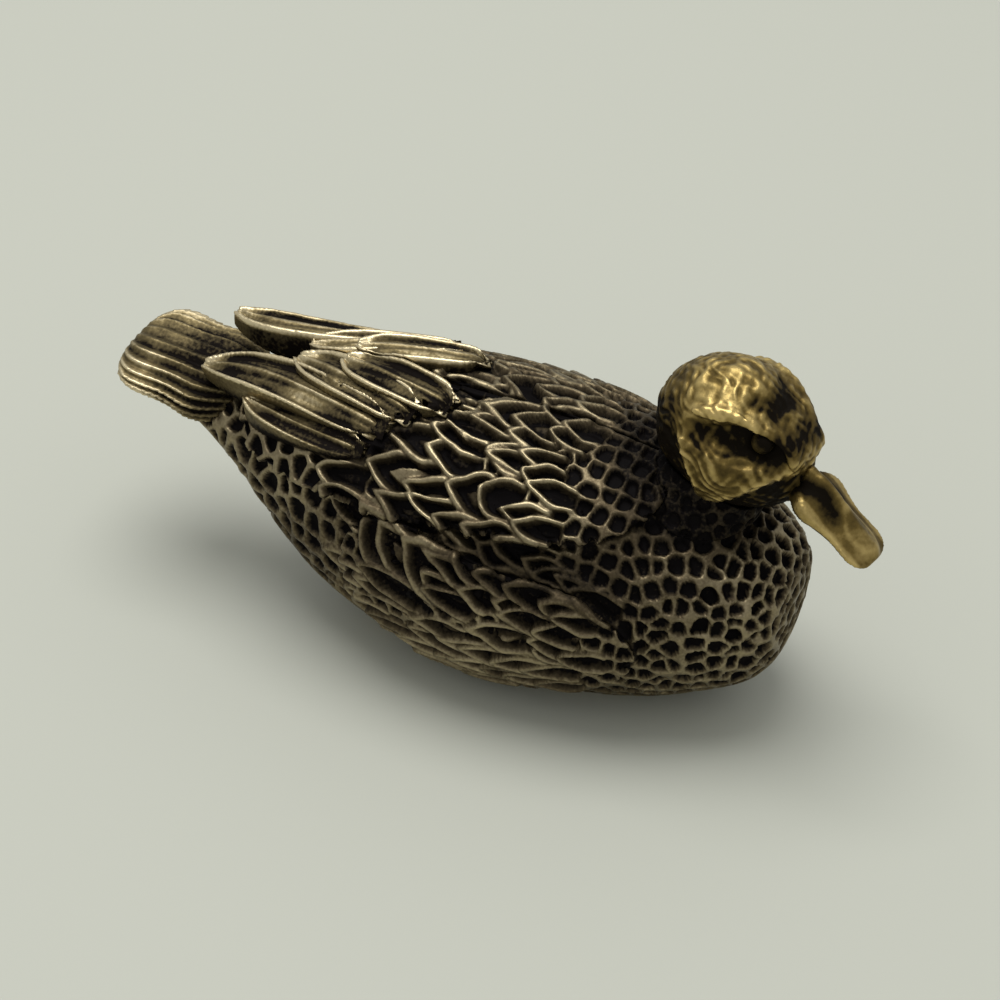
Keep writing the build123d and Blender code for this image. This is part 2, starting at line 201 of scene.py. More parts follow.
def makePatina():
    group, start, end = newGroup("patinaWearAndShade", [
        ("RubAndShade", "Float", 0.5), ("Dark", "Color", (0.02, 0.015, 0.013, 1)), ("Mid", "Color", (0.2, 0.15, 0.07, 1)),
        ("Bright", "Color", (0.6, 0.48, 0.25, 1)), ("Mottle", "Float", 0.25), ("Grain", "Float", 900.0)],
        [("Color", "Color"), ("Roughness", "Float"), ("Metallic", "Float"), ("Height", "Float")])
    place = group.nodes.new("ShaderNodeTexCoord").outputs["Object"]

    def noise(scale, detail):
        node = group.nodes.new("ShaderNodeTexNoise")
        group.links.new(place, node.inputs["Vector"])
        if isinstance(scale, (int, float)):
            node.inputs["Scale"].default_value = scale
        else:
            group.links.new(scale, node.inputs["Scale"])
        node.inputs["Detail"].default_value = detail
        return node.outputs["Fac"]

    broad, fine = noise(wearCurve["patches"], 4), noise(start.outputs["Grain"], 6)
    swing = mathNode(group, "MULTIPLY", mathNode(group, "SUBTRACT", broad, 0.5), start.outputs["Mottle"])
    small = mathNode(group, "MULTIPLY", mathNode(group, "SUBTRACT", fine, 0.5), start.outputs["Mottle"])
    wornAndShaded = mathNode(group, "ADD", mathNode(group, "ADD", start.outputs["RubAndShade"], swing), small, clamp=True)
    low = group.nodes.new("ShaderNodeMix")
    high = group.nodes.new("ShaderNodeMix")
    for node in (low, high):
        node.data_type = "RGBA"
    toMid = mathNode(group, "MULTIPLY_ADD", wornAndShaded, *wearCurve["toMid"], clamp=True)
    toBright = mathNode(group, "MULTIPLY_ADD", wornAndShaded, *wearCurve["toBright"], clamp=True)
    group.links.new(toMid, low.inputs["Factor"])
    group.links.new(toBright, high.inputs["Factor"])
    group.links.new(start.outputs["Dark"], low.inputs["A"])
    group.links.new(start.outputs["Mid"], low.inputs["B"])
    group.links.new(low.outputs["Result"], high.inputs["A"])
    group.links.new(start.outputs["Bright"], high.inputs["B"])
    group.links.new(high.outputs["Result"], end.inputs["Color"])
    rough = mathNode(group, "MULTIPLY_ADD", wornAndShaded, *wearCurve["roughness"])
    metal = mathNode(group, "MULTIPLY_ADD", wornAndShaded, *wearCurve["metal"], clamp=True)
    group.links.new(rough, end.inputs["Roughness"])
    group.links.new(metal, end.inputs["Metallic"])
    group.links.new(fine, end.inputs["Height"])
    return group


patina = makePatina()


def brass(name, dark, mid, bright, mottle, grain, bump, sheen=0.05, bumpHeight=0.05):
    material = bpy.data.materials.new(name)
    material.use_nodes = True
    tree = material.node_tree
    shader = tree.nodes["Principled BSDF"]
    shader.inputs["Specular IOR Level"].default_value = sheen
    wear = tree.nodes.new("ShaderNodeGroup")
    wear.node_tree = patina
    rubAndShade = tree.nodes.new("ShaderNodeAttribute")
    rubAndShade.attribute_name = "rubAndShade"
    tree.links.new(rubAndShade.outputs["Fac"], wear.inputs["RubAndShade"])
    for label, value in (("Dark", dark), ("Mid", mid), ("Bright", bright)):
        wear.inputs[label].default_value = (*value, 1)
    wear.inputs["Mottle"].default_value = mottle
    wear.inputs["Grain"].default_value = grain
    bumpNode = tree.nodes.new("ShaderNodeBump")
    bumpNode.inputs["Strength"].default_value = bump
    bumpNode.inputs["Distance"].default_value = bumpHeight * mm
    tree.links.new(wear.outputs["Height"], bumpNode.inputs["Height"])
    tree.links.new(bumpNode.outputs["Normal"], shader.inputs["Normal"])
    tree.links.new(wear.outputs["Color"], shader.inputs["Base Color"])
    tree.links.new(wear.outputs["Roughness"], shader.inputs["Roughness"])
    tree.links.new(wear.outputs["Metallic"], shader.inputs["Metallic"])
    return material


coatBrass = brass("coatBrass", dark=(0.004, 0.003, 0.003), mid=(0.1, 0.076, 0.044), bright=(0.38, 0.315, 0.192),
                  mottle=0.45, grain=5500.0, bump=0.35)
quillBrass = brass("quillBrass", dark=(0.006, 0.004, 0.003), mid=(0.2, 0.155, 0.075), bright=(0.68, 0.57, 0.36),
                   mottle=0.5, grain=5000.0, bump=0.35)
headBrass = brass("headBrass", dark=(0.006, 0.004, 0.002), mid=(0.165, 0.113, 0.034), bright=(0.56, 0.415, 0.16),
                  mottle=0.34, grain=4200.0, bump=0.5)
print("brass mixed")


def dress(piece, nodeName, material):
    piece.data.materials.clear()
    piece.data.materials.append(material)
    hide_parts(nodeName)
    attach(piece, "root")
    print("piece", piece.name, len(piece.data.polygons))


# Coat: pressed hollows in a honeycomb all over, and V-shaped feathers over them on the wings and flanks
coat = dict(bodyVoxel=0.15, layerVoxel=0.11, axisHeight=7.8, closeRounds=8, deepest=0.8, yFront=-16.75, yRear=19.0,
            reach=30, lowest=0.5, lowSide=92, angleScale=0.13)
comb = dict(pitch=1.18, rumpGrowth=0.3, rumpFrom=5.5, rumpTo=9.5, firstRow=0.42, wall=0.19, depth=0.42, rise=0.05,
            shine=0.69, jitter=0.1, warp=0.12, pitRadius=0.53, leastSize=0.8, mostSize=1.1)
breast = dict(yFrom=-11.0, tries=2500, turn=2.4, gap=0.78)
plume = dict(rimWidth=0.43, rimHeight=0.18, pitDepth=0.46, tongueHeight=0.22, smallTongue=0.4, shine=0.9, tilt=0.12,
             overlap=0.62, sideOverlap=0.9, yRear=10.5, yFront=-9.5, leastPoint=0.42, jitter=0.09, warp=0.13,
             bodyRadius=8.6)
# y, degrees round from the back's middle, length, width, how pointed, tongue, upward tilt in degrees
featherChart = [
    (8.0, 25, 3.4, 2.6, 0.9, 0.8, 0), (3.5, 12, 3.0, 2.4, 0.9, 0.6, 0), (3.0, 48, 3.2, 2.9, 0.9, 0.6, 8),
    (0.0, 12, 2.6, 2.2, 0.8, 0.5, 0), (0.0, 48, 2.8, 2.6, 0.8, 0.4, 8), (-3.5, 15, 2.0, 1.8, 0.6, 0.3, 0),
    (-3.5, 50, 2.2, 1.9, 0.6, 0.3, 5), (-6.0, 20, 1.6, 1.45, 0.2, 0, 0), (-6.0, 50, 1.7, 1.5, 0.3, 0, 0),
    (-9.0, 30, 1.4, 1.2, 0.1, 0, 0), (-8.0, 60, 1.5, 1.3, 0.2, 0, 0), (4.0, 75, 3.2, 2.8, 0.9, 0.8, 32),
    (0.0, 75, 2.3, 2.1, 0.8, 0.5, 25), (-4.0, 75, 2.1, 1.8, 0.7, 0.4, 15), (-8.0, 80, 1.7, 1.5, 0.5, 0.1, 8),
    (8.5, 70, 1.7, 1.45, 0.2, 0, 0), (12.0, 80, 1.5, 1.3, 0.1, 0, 0), (9.0, 105, 1.6, 1.4, 0.1, 0, 0),
    (3.0, 100, 3.0, 1.7, 0.6, 0.3, 6), (-3.0, 100, 2.6, 1.8, 0.7, 0.6, 5), (-8.0, 105, 1.9, 1.5, 0.4, 0, 0),
    (3.0, 125, 2.8, 1.5, 0.5, 0.3, 0), (-5.0, 125, 2.2, 1.5, 0.45, 0.2, 0), (-12.0, 60, 1.35, 1.25, 0.1, 0, 0),
    (-12.0, 95, 1.5, 1.35, 0.1, 0, 0), (-15.0, 90, 1.45, 1.3, 0.1, 0, 0), (-12.0, 130, 1.45, 1.3, 0.1, 0, 0),
    (16.0, 100, 1.3, 1.2, 0.1, 0, 0),
]
# the large feathers, listed one by one: sides, y and degrees of the tip, then as above
bigFeathers = [
    ("both", 6.3, 47, 3.0, 3.4, 0.9, 1.0, 8), ("both", 3.9, 50, 2.4, 2.8, 0.9, 0.5, 15),
    ("both", 1.5, 46, 2.2, 3.0, 0.75, 0.3, 14), ("both", -0.5, 46, 1.7, 2.7, 0.35, 0.0, 15),
    ("both", 3.7, 25, 2.6, 2.5, 0.9, 1.0, 12), ("both", 6.8, 21, 2.9, 2.9, 0.9, 0.8, 13),
    ("both", 0.2, 30, 1.9, 2.2, 0.75, 0.4, 10), ("both", -2.2, 34, 1.7, 2.0, 0.6, 0.3, 10),
    ("left", 5.6, 15, 2.8, 2.6, 0.9, 0.7, 6), ("both", 1.7, 9, 2.6, 2.6, 0.85, 0.0, 4),
    ("both", -0.2, 11, 2.2, 2.3, 0.8, 0.3, 4), ("both", -2.4, 12, 1.9, 2.0, 0.7, 0.2, 4),
    ("both", 5.9, 64, 2.9, 4.0, 0.95, 0.0, 44), ("both", 4.9, 68, 2.5, 2.9, 0.95, 0.6, 40),
    ("both", 2.9, 71, 2.7, 3.8, 0.9, 0.0, 36), ("both", 1.7, 80, 2.0, 2.5, 0.9, 0.6, 34),
    ("both", -0.7, 82, 1.7, 2.1, 0.8, 0.4, 22), ("both", -2.6, 84, 1.7, 2.0, 0.8, 0.4, 16),
    ("both", -0.9, 66, 1.6, 1.8, 0.8, 0.3, 20), ("both", -5.0, 82, 1.6, 1.8, 0.7, 0.3, 12),
    ("both", -3.6, 68, 1.6, 1.7, 0.7, 0.3, 14), ("both", 6.1, 97, 3.0, 1.7, 0.55, 0.0, 5),
    ("both", 2.4, 103, 2.8, 1.7, 0.6, 0.4, 5), ("both", -1.2, 99, 2.4, 2.3, 0.7, 0.9, 5),
    ("both", -4.4, 98, 2.1, 2.2, 0.85, 0.8, 5), ("both", -6.2, 104, 1.9, 1.7, 0.5, 0.3, 5),
]
chartPlaces = np.array([(y, angle * coat["angleScale"]) for y, angle, *_ in featherChart])
chartValues = np.array([row[2:] for row in featherChart], float)
coatTree = treeOf(["body", "left_wing", "right_wing", "left_flank", "right_flank"])


def featherSize(y, angle):
    # length, width, point, tongue and tilt between the chart's places
    gap = np.hypot(chartPlaces[:, 0] - y, chartPlaces[:, 1] - angle * coat["angleScale"])
    weight = 1 / (gap + 0.3) ** 3
    return (chartValues * weight[:, None]).sum(0) / weight.sum()


def onCoat(y, angle):
    # the coat's point and outward normal at a station and an angle round from the back, + to the duck's left
    turn = math.radians(angle)
    out = Vector((math.sin(turn), 0, math.cos(turn)))
    hit, normal = skinPoint(coatTree, Vector((0, y, coat["axisHeight"])), out, coat["reach"])
    if hit is None:
        return None
    return hit, (normal if normal.dot(out) > 0 else -normal)


def layCells(seed):
    # staggered rings of hollows, evenly apart along the skin from the breast to the rump
    dice = np.random.default_rng(seed)
    stations = np.arange(coat["yFront"], coat["yRear"], 0.1)
    sides = [onCoat(y, coat["lowSide"]) for y in stations]
    radius = np.array([abs(side[0].x) if side else 0.0 for side in sides])
    pitches = comb["pitch"] * (1 + comb["rumpGrowth"] * smoothStep(stations, comb["rumpFrom"], comb["rumpTo"]))
    run = np.concatenate([[0], np.cumsum(np.hypot(np.diff(stations), np.diff(radius)) / pitches[1:])])
    rows = np.interp(np.arange(comb["firstRow"], run[-1], rowRatio), run, stations)
    angles = np.arange(-180.0, 181.0, 3.0)
    cells = []
    for number, y in enumerate(rows):
        ring = [(angle, onCoat(y, angle)) for angle in angles]
        ring = [(angle, place[0]) for angle, place in ring if place]
        if len(ring) < 8:
            continue
        pitch = np.interp(y, stations, pitches)
        spots = np.array([tuple(spot) for _, spot in ring])
        length = np.concatenate([[0], np.cumsum(np.linalg.norm(np.diff(spots, axis=0), axis=1))])
        count = max(3, round(length[-1] / pitch))
        steps = (np.arange(count) + 0.5 * (number % 2)) * length[-1] / count
        spots = np.column_stack([np.interp(steps, length, spots[:, axis]) for axis in range(3)])
        spots += dice.normal(0, comb["jitter"], spots.shape)
        cells += [(spot, pitch, dice.uniform(comb["leastSize"], comb["mostSize"]))
                  for spot in spots if spot[2] > coat["lowest"]]
    # the round front of the breast, where the rings leave gaps
    centre = Vector((0, breast["yFrom"], coat["axisHeight"]))
    taken = np.array([spot for spot, _, _ in cells])
    for number in range(breast["tries"]):
        turn, lean = number * breast["turn"], math.acos(1 - number / breast["tries"])
        out = Vector((math.cos(turn) * math.sin(lean), -math.cos(lean), math.sin(turn) * math.sin(lean)))
        hit, _ = skinPoint(coatTree, centre, out, coat["reach"])
        if hit is None or hit.z <= coat["lowest"]:
            continue
        if np.linalg.norm(taken - np.array(hit), axis=1).min() > comb["pitch"] * breast["gap"]:
            cells.append((np.array(hit), comb["pitch"], dice.uniform(comb["leastSize"], comb["mostSize"])))
            taken = np.vstack([taken, np.array(hit)])
    return cells


def featherAt(y, angle, side, values, dice):
    place = onCoat(y, side * angle)
    if place is None:
        return None
    length, width, point, tongue, tilt = values
    return dict(place=place[0], normal=place[1], y=y, length=length, width=width, point=point, tongue=tongue,
                tilt=tilt, wobble=dice.normal(0, plume["jitter"], 6))


def layFeathers(seed):
    # the large feathers first, then rows of overlapping ones from the rear to the front wherever there is room
    dice = np.random.default_rng(seed)
    feathers, placed = [], []
    for sides, y, angle, length, width, point, tongue, tilt in bigFeathers:
        for side in (1, -1):
            if sides != "both" and side != (1 if sides == "left" else -1):
                continue
            # the tip is given, the feather's middle lies a length before it
            drop = length * math.sin(math.radians(tilt)) / plume["bodyRadius"]
            middle = featherAt(y - length * math.cos(math.radians(tilt)), angle + math.degrees(drop), side,
                               (length, width, point, tongue, tilt), dice)
            middle["wobble"] = middle["wobble"] * (0.25 if side < 0 else 1)
            feathers.append(middle)
            placed.append((side, middle["place"] + Vector((0, length * 0.35, 0)), max(length, width) * 0.45))
    for side in (1, -1):
        angles = np.arange(2.0, 132.0, 2.0)
        rows = [np.full(len(angles), plume["yRear"])]
        while rows[-1].max() > plume["yFront"]:
            last = rows[-1]
            rows.append(last - np.array([featherSize(y, a)[0] for y, a in zip(last, angles)]) * plume["overlap"])
        for number, row in enumerate(rows):
            angle = 3.0 + 4.0 * (number % 2)
            while angle < 130:
                y = float(np.interp(angle, angles, row))
                values = featherSize(y, angle)
                place = onCoat(y, side * angle)
                reach = 8.0 if place is None else max(2.0, math.hypot(place[0].x, place[0].z - coat["axisHeight"]))
                values[3] *= plume["smallTongue"]
                if values[2] > plume["leastPoint"] and plume["yFront"] < y < plume["yRear"]:
                    feather = featherAt(y, angle, side, values, dice)
                    if feather and not any(side == s and (feather["place"] - p).length < r for s, p, r in placed):
                        feathers.append(feather)
                angle += math.degrees(values[1] * plume["sideOverlap"] / reach)
    return sorted(feathers, key=lambda f: -f["y"])


def fillHollows(piece, voxel):
    # closes the solid's plain hollows, so that the finer ones are pressed into a smooth skin
    mesh = piece.data
    points, edges = readPoints(mesh), readEdges(mesh)
    out = np.column_stack([points[:, 0], points[:, 2] - coat["axisHeight"]])
    radius = np.linalg.norm(out, axis=1)
    closed = radius.copy()
    for extreme in (np.maximum, np.minimum):
        for _ in range(coat["closeRounds"]):
            before = closed.copy()
            extreme.at(closed, edges[:, 0], before[edges[:, 1]])
            extreme.at(closed, edges[:, 1], before[edges[:, 0]])
    lift = spread(np.clip(closed - radius, 0, coat["deepest"]), edges, len(points), 1)
    grown = (radius + lift) / np.maximum(radius, 0.5)
    points[:, 0] *= grown
    points[:, 2] = coat["axisHeight"] + out[:, 1] * grown
    if piece.name == "bodyCoat":
        points[:, 2] = np.maximum(points[:, 2], 0)
    writePoints(mesh, points)
    evenSkin(piece, voxel)


def makeSheet(piece, tree):
    # a piece's points in order of y, with what the relief needs at each of them
    mesh = piece.data
    points, normals = readPoints(mesh), readNormals(mesh)
    order = np.argsort(points[:, 1])
    sheet = dict(piece=piece, points=points[order], normals=normals[order], order=order)
    sheet["y"] = sheet["points"][:, 1]
    sheet["warp"] = np.column_stack([wave(sheet["points"], 1.0, seed) for seed in (3, 11, 19)])
    sheet["angle"] = np.degrees(np.arctan2(np.abs(sheet["points"][:, 0]), sheet["points"][:, 2] - coat["axisHeight"]))
    sheet["wear"] = wearOver(sheet["points"], sheet["angle"])
    sheet["open"] = openSkin(sheet["points"], sheet["normals"], tree)
    return sheet


def wearOver(points, angle):
    # how much a place is rubbed, with painted shade: darker in the hollow under the wing, behind the neck and low down
    # at the throat under the head; the rest varies at random
    y = points[:, 1]
    hollowShade = np.exp(-(((angle - 72) / 11) ** 2 + ((y + 3.6) / 4.8) ** 2))
    neck = np.exp(-(((y + 8.6) / 3.4) ** 2 + (angle / 50) ** 2))
    throatShade = np.exp(-((np.hypot(points[:, 0] - 0.2, y + 11.2) - 3.2) / 1.7) ** 2) * smoothStep(points[:, 2], 10.8, 12.4)
    uneven = wave(points, 3.2, 31)
    return np.clip(1 - 0.55 * hollowShade - 0.42 * neck - 0.6 * throatShade + 0.16 * uneven, 0.25, 1.12)


def pressCells(sheet, cells, pitch):
    # the skin is cut into cells round the nearest centres, with a wall between each two and a rounded pit in each
    points = sheet["points"] + sheet["warp"] * comb["warp"]
    nearest = np.full(len(points), farOff)
    second = np.full(len(points), farOff)
    deep, width = np.ones(len(points)), np.full(len(points), pitch)
    reach = pitch * 1.9
    for spot, own, size in cells:
        low, high = np.searchsorted(sheet["y"], (spot[1] - reach, spot[1] + reach))
        gap = np.linalg.norm(points[low:high] - spot, axis=1)
        first, after = nearest[low:high], second[low:high]
        closer = gap < first
        second[low:high] = np.where(closer, first, np.minimum(after, gap))
        nearest[low:high] = np.where(closer, gap, first)
        deep[low:high] = np.where(closer, size, deep[low:high])
        width[low:high] = np.where(closer, own, width[low:high])
    inward = np.minimum((second - nearest) / 2, width * comb["pitRadius"] - nearest)
    half = comb["wall"] / 2 * (width / pitch) ** 1.5
    pit = smoothStep(inward, half * 0.6, half * 2.2)
    sheet["height"] = comb["rise"] - comb["depth"] * pit * deep
    sheet["rubAndShade"] = (1 - smoothStep(inward, half * 0.75, half * 1.55)) * sheet["wear"] * comb["shine"]


def outlineDistance(u, v, length, half, point):
    # signed distance in from a feather's outline, whose tip lies at u = length
    a, b = 2.3 - 1.2 * point, 0.55 + 0.4 * point
    share = np.linspace(1, 0, 11)
    edgeU = np.append(share * length, -length * 1.1)
    edgeV = np.append(half * (1 - share ** a) ** b, half * 0.8)
    across = np.abs(v)
    nearest = np.full(len(u), farOff)
    for k in range(len(edgeU) - 1):
        du, dv = edgeU[k + 1] - edgeU[k], edgeV[k + 1] - edgeV[k]
        t = np.clip(((u - edgeU[k]) * du + (across - edgeV[k]) * dv) / (du * du + dv * dv), 0, 1)
        nearest = np.minimum(nearest, np.hypot(u - edgeU[k] - t * du, across - edgeV[k] - t * dv))
    ahead = np.clip(u / length, 0, 1)
    width = np.where(u > 0, half * (1 - ahead ** a) ** b, half * (1 + 0.2 * u / length / 1.1))
    inside = (across < width) & (u < length) & (u > -length * 0.55)
    return np.where(inside, nearest, -nearest)


def stampFeather(sheet, feather):
    # a raised rim, a sunk V inside it and a tongue that rises from the feather's root, over what lies there
    wobble = feather["wobble"]
    length, half = feather["length"] * (1 + wobble[0]), feather["width"] / 2 * (1 + wobble[1])
    normal = np.array(feather["normal"])
    tilt = math.radians(feather["tilt"]) + wobble[2]
    lengthways = np.array((0, math.cos(tilt), math.sin(tilt)))
    lengthways = lengthways - normal * lengthways.dot(normal)
    lengthways /= np.linalg.norm(lengthways)
    sideways = np.cross(normal, lengthways)
    centre = np.array(feather["place"])
    reach = length * 1.15
    low, high = np.searchsorted(sheet["y"], (centre[1] - reach, centre[1] + reach))
    rel = sheet["points"][low:high] - centre
    u, v, w = rel @ lengthways, rel @ sideways, rel @ normal
    picked = np.nonzero((np.abs(u) < reach) & (np.abs(v) < half * 1.2 + 0.2) & (np.abs(w) < 1.8)
                        & (sheet["normals"][low:high] @ normal > 0.1))[0]
    if not len(picked):
        return
    index = picked + low
    u = u[picked] + sheet["warp"][index, 0] * plume["warp"]
    v = v[picked] + sheet["warp"][index, 1] * plume["warp"]
    inward = outlineDistance(u, v, length, half, feather["point"])
    rim = plume["rimWidth"] * min(1.1, 0.62 + 0.15 * feather["width"]) * (1 + 0.25 * sheet["warp"][index, 2])
    crest = np.exp(-((inward - rim * 0.5) / (rim * 0.48)) ** 2)
    pitEnd = rim + 0.2 + 0.08 * feather["width"]
    tongue = feather["tongue"] * smoothStep(inward, pitEnd, pitEnd + 0.16) * smoothStep(u, -length * 0.5, length * 0.1)
    pit = smoothStep(inward, rim * 0.75, rim * 1.35) * (1 - tongue)
    height = (plume["tilt"] * np.clip(u / length, -1, 1) + plume["rimHeight"] * crest - plume["pitDepth"] * pit
              + plume["tongueHeight"] * tongue)
    rubAndShade = np.maximum(crest * (0.92 + wobble[3]), tongue * 0.8) * sheet["wear"][index] * plume["shine"]
    rubAndShade = np.clip(rubAndShade, 0, 1)
    cover = smoothStep(inward, -0.06, 0.08) * smoothStep(u, -length * 0.55, -length * 0.3)
    sheet["height"][index] = sheet["height"][index] * (1 - cover) + height * cover
    sheet["rubAndShade"][index] = sheet["rubAndShade"][index] * (1 - cover) + rubAndShade * cover


def finishSheet(sheet):
    shown = sheet["open"]
    points = sheet["points"] + sheet["normals"] * (sheet["height"] * shown)[:, None]
    back = np.empty_like(sheet["order"])
    back[sheet["order"]] = np.arange(len(back))
    mesh = sheet["piece"].data
    writePoints(mesh, points[back])
    storeValue(mesh, "rubAndShade", (sheet["rubAndShade"] * (0.3 + 0.7 * shown))[back])


feathers = layFeathers(7)
cells = layCells(5)
print("coat planned:", len(feathers), "feathers,", len(cells), "hollows")
for nodeName, pieceName in (("body", "bodyCoat"), ("left_wing", "leftWing"), ("right_wing", "rightWing"),
                            ("left_flank", "leftFlank"), ("right_flank", "rightFlank")):
    voxel = coat["bodyVoxel" if nodeName == "body" else "layerVoxel"]
    piece = castCopy(nodeName, pieceName, voxel)
    fillHollows(piece, voxel)
    sheet = makeSheet(piece, treeOf(sorted(allNames - {nodeName})))
    # the face that the duck stands on stays plain
    sheet["open"] *= 1 - smoothStep(-sheet["normals"][:, 2], 0.9, 0.97) * (sheet["points"][:, 2] < 0.3)
    pressCells(sheet, cells, comb["pitch"])
    for feather in feathers:
        stampFeather(sheet, feather)
    finishSheet(sheet)
    dress(piece, nodeName, coatBrass)
print("coat pressed")

# Neck: small dark hollows that run up to the head, and the whole neck darkened with painted shade under the head
neck = dict(voxel=0.1, centre=(0.2, -11.0), low=11.6, high=16.0, pitch=0.95, radius=3.4, stagger=8.0, jitter=0.08,
            depthShare=0.7, rubShareInShade=0.5)
piece = castCopy("neck", "neckCoat", neck["voxel"])
sheet = makeSheet(piece, treeOf(sorted(allNames - {"neck"})))
neckTree = treeOf(["neck"])
neckCells = []
dice = np.random.default_rng(9)
for number, level in enumerate(np.arange(neck["low"], neck["high"], neck["pitch"] * rowRatio)):
    for angle in np.arange(0, 360, math.degrees(neck["pitch"] / neck["radius"])) + neck["stagger"] * (number % 2):
        out = Vector((math.cos(math.radians(angle)), math.sin(math.radians(angle)), 0))
        hit, _ = skinPoint(neckTree, Vector((*neck["centre"], level)), out, 12)
        if hit is not None:
            spot = np.array(hit) + dice.normal(0, neck["jitter"], 3)
            neckCells.append((spot, neck["pitch"], dice.uniform(0.7, 1.0)))
pressCells(sheet, neckCells, neck["pitch"])
sheet["height"] *= neck["depthShare"]
# the neck keeps only half its rubbing: painted shade under the head
sheet["rubAndShade"] *= neck["rubShareInShade"]
finishSheet(sheet)
dress(piece, "neck", coatBrass)
print("neck pressed")

# Long feathers: bright rims, a shaft and dark streaks that run with each feather
quill = dict(voxel=0.09, streakDepth=0.08, streakWidth=0.11, streakDrift=0.09, rimRise=0.07, rimAt=0.88,
             rimWidth=0.17, grooveAt=0.66, grooveWidth=0.13, shaftWidth=0.12, rootSink=0.4, rootPinch=0.75, grain=0.015)
# how far along a long feather, and its width there as a share of the whole
share = np.array([0, 0.3, 0.6, 0.82, 0.93, 1.0])
breadth = np.array([0.72, 0.94, 1.0, 0.88, 0.62, 0.26])
# place across, depth, and where along the feather a dark streak starts and ends
streakChart = [(-0.5, 1.0, 0.05, 0.8), (-0.2, 0.7, 0.1, 0.95), (0.22, 0.8, 0.0, 0.88), (0.52, 1.0, 0.1, 0.75)]
# the middle line of each pair seen from above, and its width
courses = {
    "secondaries": ([(5.7, 6.2), (4.9, 10.5), (3.5, 14.8)], 2.0),
    "primaries": ([(4.6, 5.4), (3.4, 10.0), (2.3, 14.3), (2.0, 18.3)], 2.9),
    "long_tertial": ([(3.6, 4.3), (2.1, 8.9), (0.75, 13.0)], 2.9),
    "short_tertial": ([(2.5, 2.6), (1.6, 6.5), (0.75, 10.1)], 2.9),
}


def curveThrough(spots, count):
    # a smooth plan curve through the course's points, by its own lengths
    spots = np.array(spots, float)
    knots = np.concatenate([[0], np.cumsum(np.linalg.norm(np.diff(spots, axis=0), axis=1))])
    at = np.linspace(0, knots[-1], count)
    order = len(spots) - 1
    return np.column_stack([np.polyval(np.polyfit(knots, spots[:, axis], order), at) for axis in (0, 1)])


for part, (spots, width) in courses.items():
    line = curveThrough(spots, 60)
    steps = np.gradient(line, axis=0)
    steps /= np.linalg.norm(steps, axis=1)[:, None]
    for side, mirror in (("left", 1), ("right", -1)):
        nodeName = f"{side}_{part}"
        piece = castCopy(nodeName, side + part.title().replace("_", ""), quill["voxel"])
        mesh = piece.data
        points, normals, edges = readPoints(mesh), readNormals(mesh), readEdges(mesh)
        plan = points[:, :2] * (mirror, 1)
        gap = (plan[:, None, 0] - line[None, :, 0]) ** 2 + (plan[:, None, 1] - line[None, :, 1]) ** 2
        near = gap.argmin(1)
        run = near / (len(line) - 1)
        rel = plan - line[near]
        offset = rel[:, 0] * steps[near, 1] - rel[:, 1] * steps[near, 0]
        half = width / 2 * np.interp(run, share, breadth)
        across = offset / half
        upward = smoothStep(normals[:, 2], 0.15, 0.5)
        streaks = np.zeros(len(points))
        for place, depth, first, last in streakChart:
            drift = place + quill["streakDrift"] * np.sin(run * 7 + place * 9)
            streak = np.exp(-((across - drift) * half / quill["streakWidth"]) ** 2)
            ends = smoothStep(run, first, first + 0.08) * (1 - smoothStep(run, last - 0.1, last))
            streaks = np.maximum(streaks, streak * depth * ends)
        rim = np.exp(-((np.abs(across) - quill["rimAt"]) * half / quill["rimWidth"]) ** 2)
        tip = smoothStep(run, 0.86, 0.97)
        groove = np.exp(-((np.abs(across) - quill["grooveAt"]) * half / quill["grooveWidth"]) ** 2) * (1 - tip)
        proud = ((points - spread(points, edges, len(points), 7)) * normals).sum(1)
        fine = wave(points, 0.5, 41) * 0.5 + 0.5
        cut = quill["streakDepth"] * np.maximum(streaks, groove * 1.1)
        height = upward * (quill["rimRise"] * rim - cut + quill["grain"] * fine)
        shaft = np.exp(-(across * half / quill["shaftWidth"]) ** 2) * (1 - tip)
        root = 1 - smoothStep(run, 0.0, 0.16)
        height -= quill["rootSink"] * root
        rubAndShade = (0.3 + 0.72 * rim + 0.42 * tip + 0.3 * shaft - 0.3 * np.maximum(streaks * 0.8, groove) + proud * 3.5
               + 0.26 * wave(points * (1, 0.3, 1), 0.9, 43) - 0.3 * root)
        # faces turned down are darkened: painted shade under the long feathers
        rubAndShade = rubAndShade * (0.3 + 0.7 * upward) + 0.12 * rim
        moved = points + normals * height[:, None]
        pinch = offset * (1 - smoothStep(run, -0.1, 0.22)) * quill["rootPinch"]
        moved[:, 0] -= pinch * steps[near, 1] * mirror
        moved[:, 1] += pinch * steps[near, 0]
        writePoints(mesh, moved)
        storeValue(mesh, "rubAndShade", np.clip(rubAndShade, 0, 1))
        dress(piece, nodeName, quillBrass)
print("long feathers done")

# Tail fan: ribs rubbed bright along the edge and near the end, dark between them, and darker at the root with painted
# shade where the wing tips lie over it
tail = dict(voxel=0.075, root=15.5, end=22.0, ribLimit=0.05, base=0.08, edgeRub=0.3, endRub=0.22, ribRub=12.0)
piece = castCopy("tail_fan", "tailFan", tail["voxel"])
mesh = piece.data
points, normals, edges = readPoints(mesh), readNormals(mesh), readEdges(mesh)
points = spread(points, edges, len(points), 2)
broad = spread(points, edges, len(points), 14)
proud = ((points - broad) * normals).sum(1)
edge = smoothStep(np.abs(points[:, 0]), 1.0, 3.4)
ribbed = 0.35 + 0.65 * smoothStep(np.abs(points[:, 0]), 0.2, 1.6)
out = smoothStep(points[:, 1], tail["root"], tail["end"])
ribs = np.clip(proud, -tail["ribLimit"], tail["ribLimit"]) * (1.6 * ribbed - 0.4)
writePoints(mesh, points + normals * ribs[:, None])
